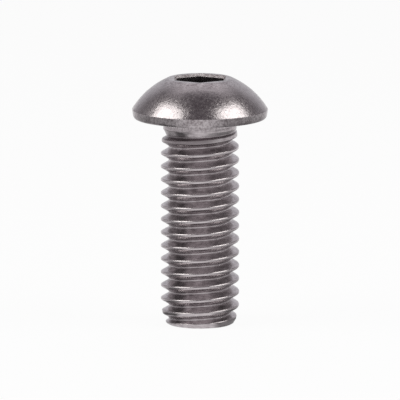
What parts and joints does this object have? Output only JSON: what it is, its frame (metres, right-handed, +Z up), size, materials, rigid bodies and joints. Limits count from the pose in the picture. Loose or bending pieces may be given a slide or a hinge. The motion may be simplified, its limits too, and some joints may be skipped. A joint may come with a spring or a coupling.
{
  "type": "button head machine screw",
  "caption": "Button head machine screw in steel, with a domed head, a hexagon socket, a short plain neck and a coarse right-hand thread that ends in a flat point.",
  "frame": {"origin": "centre of the flat end face of the thread, on the surface that the screw stands on", "axes": "+Z up the screw's axis from the end face to the head; two corners of the socket point along +Y and -Y"},
  "size_m": [0.016, 0.016, 0.0295],
  "materials": {
    "steel": "tumbled satin, a little darker in the thread"
  },
  "bodies": {
    "root": {"button_head_screw": "steel"}
  },
  "joints": []
}
